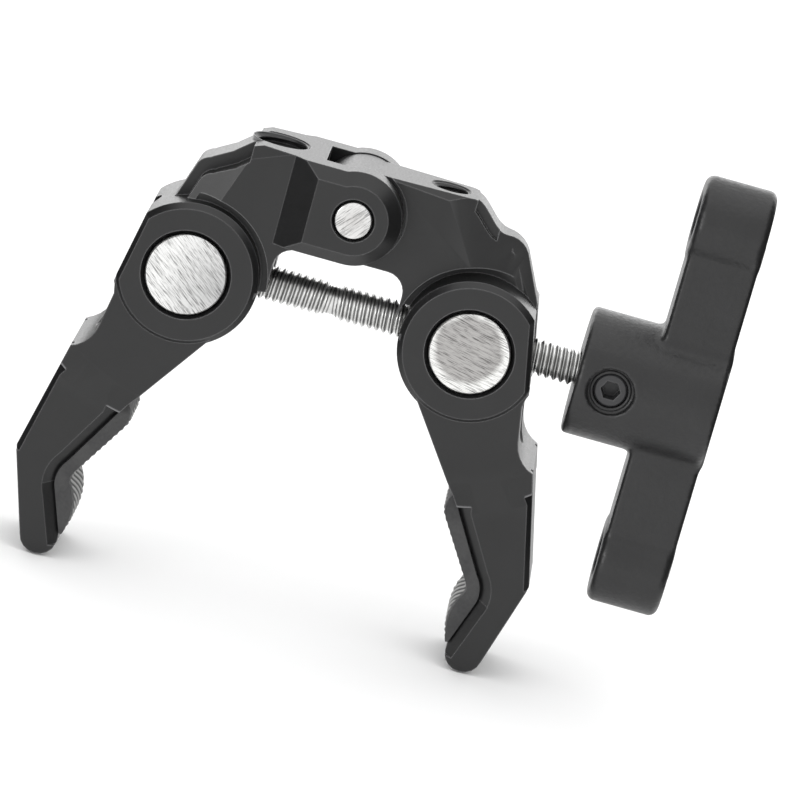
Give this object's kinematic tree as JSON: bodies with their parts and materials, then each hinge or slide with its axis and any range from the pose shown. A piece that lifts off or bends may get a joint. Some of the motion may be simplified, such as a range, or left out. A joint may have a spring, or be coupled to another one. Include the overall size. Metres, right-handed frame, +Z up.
{
  "type": "super clamp",
  "caption": "Lighting clamp whose two rubber-padded jaws swing on a hinge pin and are drawn together by a left- and right-handed screw with a T-handle.",
  "frame": {"origin": "centre of the footprint on the surface that the jaw tips stand on, with the jaws at rest", "axes": "+X along the screw towards the handle, +Y across the jaws away from the set screw's side, +Z up from the jaw tips to the hinge"},
  "size_m": [0.1146, 0.0252, 0.0948],
  "materials": {
    "black_anodised": "black anodised, machined, satin",
    "black_cast": "die cast, fine black powder coat, satin",
    "steel": "turned and face ground, bright",
    "rod_steel": "rolled thread, zinc plated",
    "black_steel": "black oxide",
    "nylon": "natural nylon",
    "pad_rubber": "moulded rubber with a ribbed gripping face"
  },
  "bodies": {
    "left_half": {"left_body": "black_anodised", "left_pad": "pad_rubber", "hinge_pin": "steel", "hinge_washer_front": "nylon", "hinge_washer_back": "nylon"},
    "right_half": {"right_body": "black_anodised", "right_pad": "pad_rubber"},
    "left_nut": {"left_barrel_nut": "steel"},
    "right_nut": {"right_barrel_nut": "steel"},
    "rod_end": {"rod_stop_washer": "steel"},
    "screw": {"threaded_rod": "rod_steel", "t_handle": "black_cast", "handle_set_screw": "black_steel"}
  },
  "joints": [
    {"name": "jaw_pivot", "type": "hinge", "parent": "left_half", "child": "right_half", "pos_m": [-0.01135, 0, 0.073], "axis": [0, 1, 0], "range_deg": [-8.6, 49.4]},
    {"name": "left_nut_swivel", "type": "hinge", "parent": "left_half", "child": "left_nut", "pos_m": [-0.03645, 0, 0.0558], "axis": [0, 1, 0], "range_deg": [-4.4, 24.8]},
    {"name": "right_nut_swivel", "type": "hinge", "parent": "right_half", "child": "right_nut", "pos_m": [0.01375, 0, 0.0558], "axis": [0, 1, 0], "range_deg": [-24.8, 4.4]},
    {"name": "rod_feed", "type": "slide", "parent": "left_nut", "child": "rod_end", "axis": [-1, 0, 0], "range_m": [-0.00165, 0.0095]},
    {"name": "handle_turn", "type": "hinge", "parent": "rod_end", "child": "screw", "pos_m": [-0.01135, 0, 0.0558], "axis": [1, 0, 0], "range_deg": [-452, 2664]}
  ],
  "couplings": [
    {"joint": "jaw_pivot", "follows": "handle_turn", "ratio": 0.018393},
    {"joint": "left_nut_swivel", "follows": "handle_turn", "ratio": 0.009196},
    {"joint": "right_nut_swivel", "follows": "handle_turn", "ratio": -0.009196},
    {"joint": "rod_feed", "follows": "handle_turn", "m_per_rad": 0.00020213}
  ]
}
